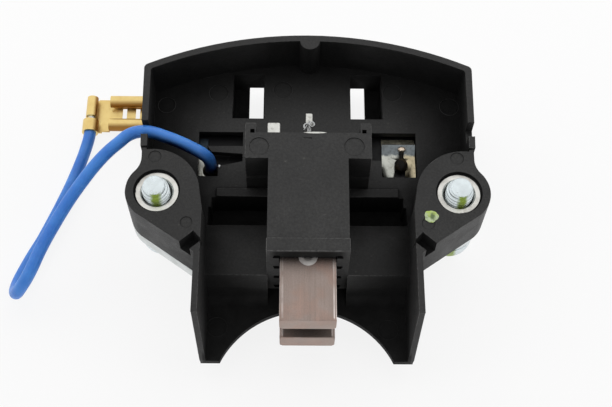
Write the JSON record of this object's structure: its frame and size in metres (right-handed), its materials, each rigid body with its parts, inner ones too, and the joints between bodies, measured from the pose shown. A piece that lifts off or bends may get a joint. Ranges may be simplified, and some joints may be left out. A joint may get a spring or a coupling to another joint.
{
  "type": "alternator voltage regulator",
  "caption": "Black moulded alternator voltage regulator with a spring-loaded brush holder, two bolt ears in steel bushes and a blue lead with a brass flag receptacle.",
  "frame": {"origin": "half way between the two mounting bolt axes, on the face of the plastic ears that seats on the alternator", "axes": "+Z out of the open face, the way the bolt ends point; +X along the line of the two bolts, to the right ear; +Y away from the rotor shaft"},
  "size_m": [0.0894, 0.0612, 0.0222],
  "materials": {
    "housing_plastic": "moulded glass-filled plastic, satin, with flash marks and a green inspection dot on the right ear",
    "holder_plastic": "moulded glass-filled plastic, satin",
    "brush_carbon": "pressed copper graphite, matt, fine grain",
    "plug_resin": "pale rammed resin ring",
    "spring_steel": "drawn wire",
    "braid_copper": "fine braid, tinned at its end",
    "bush_steel": "turned, zinc plated, dull",
    "bolt_zinc": "zinc plated, bright end face",
    "washer_zinc": "zinc plated",
    "spacer_zinc": "turned, zinc plated",
    "plate_aluminium": "stamped, satin",
    "potting": "cast resin over the circuit, slightly glossy",
    "terminal_tin": "tinned strip, dull, flux stained",
    "hook_metal": "tinned wire with dark flux",
    "solder": "dull solder",
    "lead_blue": "smooth insulation, blue",
    "strand_tin": "tinned strands",
    "receptacle_brass": "bright rolled brass sheet"
  },
  "bodies": {
    "housing": {"housing": "housing_plastic", "brush_holder": "holder_plastic", "near_spring": "spring_steel", "far_spring": "spring_steel", "near_pigtail": "braid_copper", "far_pigtail": "braid_copper", "left_bush": "bush_steel", "right_bush": "bush_steel", "left_bolt": "bolt_zinc", "right_bolt": "bolt_zinc", "left_washer": "washer_zinc", "right_washer": "washer_zinc", "left_lock_washer": "washer_zinc", "right_lock_washer": "washer_zinc", "right_spacer": "spacer_zinc", "earth_plate": "plate_aluminium", "regulator_module": "potting", "left_terminal": "terminal_tin", "right_terminal": "terminal_tin", "brush_tab": "terminal_tin", "weld_tab": "terminal_tin", "hook_lead": "hook_metal", "lead_joint": "solder", "lead_wire": "lead_blue", "lead_strands": "strand_tin", "flag_terminal": "receptacle_brass"},
    "near_brush": {"near_brush": "brush_carbon", "near_plug": "plug_resin"},
    "far_brush": {"far_brush": "brush_carbon"}
  },
  "joints": [
    {"name": "near_brush_slide", "type": "slide", "parent": "housing", "child": "near_brush", "axis": [0, 1, 0], "range_m": [0, 0.008], "stiffness_N_per_m": 150, "springref_m": -0.012, "deforming": ["near_spring", "near_pigtail"]},
    {"name": "far_brush_slide", "type": "slide", "parent": "housing", "child": "far_brush", "axis": [0, 1, 0], "range_m": [0, 0.008], "stiffness_N_per_m": 150, "springref_m": -0.012, "deforming": ["far_spring", "far_pigtail"]}
  ]
}
